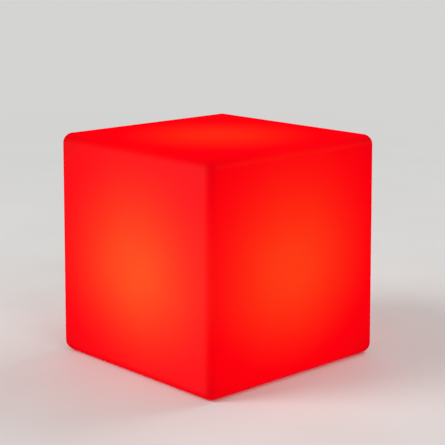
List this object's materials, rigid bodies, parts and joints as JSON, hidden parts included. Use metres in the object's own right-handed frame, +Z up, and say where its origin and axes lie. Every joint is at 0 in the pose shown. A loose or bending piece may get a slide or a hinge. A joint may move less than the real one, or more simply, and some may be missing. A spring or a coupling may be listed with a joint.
{
  "type": "led cube light",
  "caption": "Free-standing glowing cube light with rounded edges, moulded in one hollow piece, with a sealed rechargeable LED module screwed into its underside.",
  "frame": {"origin": "middle of the underside, on the surface that the cube stands on", "axes": "+Z up; the four upright faces look along +X, -X, +Y and -Y"},
  "size_m": [0.4032, 0.4032, 0.4],
  "materials": {
    "translucent_pe": "satin",
    "white_abs": "fine moulded texture",
    "button_plastic": "satin",
    "clear_lens": "polished",
    "silicone": "matte",
    "seal_rubber": "matte",
    "brass": "turned",
    "stainless": "satin",
    "nickel": "satin",
    "board_white": "solder resist",
    "board_green": "solder resist",
    "led_package": "moulded",
    "status_red": "moulded",
    "black_plastic": "moulded",
    "plunger_plastic": "moulded",
    "cell_wrap": "shrink wrap",
    "foam": "open cell",
    "can": "satin",
    "wire_red": "insulation",
    "wire_black": "insulation",
    "wire_white": "insulation"
  },
  "bodies": {
    "root": {"cube_shell": "translucent_pe", "threaded_inserts": "brass", "base_gasket": "silicone", "base_plate": "white_abs", "base_screws": "stainless", "housing_seal": "seal_rubber", "module_housing": "white_abs", "housing_screws": "stainless", "lead_grommet": "silicone", "led_board": "board_white", "led_chips": "led_package", "led_resistors": "black_plastic", "led_board_screws": "stainless", "ir_receiver": "black_plastic", "lens_cover": "clear_lens", "lens_seal": "seal_rubber", "lens_screws": "stainless", "battery_cells": "cell_wrap", "battery_tabs": "nickel", "battery_pads": "foam", "battery_cradle": "white_abs", "cradle_screws": "stainless", "control_board": "board_green", "control_board_screws": "stainless", "controller_chip": "black_plastic", "led_driver_chips": "black_plastic", "capacitors": "can", "power_inductor": "black_plastic", "board_headers": "plunger_plastic", "dc_jack_body": "black_plastic", "dc_jack_pin": "brass", "dc_jack_contact": "nickel", "jack_gasket": "silicone", "flap_anchor": "silicone", "button_diaphragm": "seal_rubber", "diaphragm_clamp": "white_abs", "push_switch": "black_plastic", "light_pipe": "clear_lens", "status_led": "status_red", "led_board_header": "plunger_plastic", "led_lead_plugs": "plunger_plastic", "led_lead": "wire_white", "battery_plug": "plunger_plastic", "battery_lead_red": "wire_red", "battery_lead_black": "wire_black"},
    "power_button": {"power_button": "button_plastic", "switch_plunger": "plunger_plastic"},
    "port_flap": {"port_flap": "silicone"}
  },
  "joints": [
    {"name": "button_press", "type": "slide", "parent": "root", "child": "power_button", "axis": [0, 0, 1], "range_m": [0, 0.0015], "stiffness_N_per_m": 1200, "springref_m": -0.0006, "deforming": ["button_diaphragm"]},
    {"name": "port_hinge", "type": "hinge", "parent": "root", "child": "port_flap", "pos_m": [0.032, 0, 0.0049], "axis": [0, -1, 0], "range_deg": [0, 120]}
  ]
}
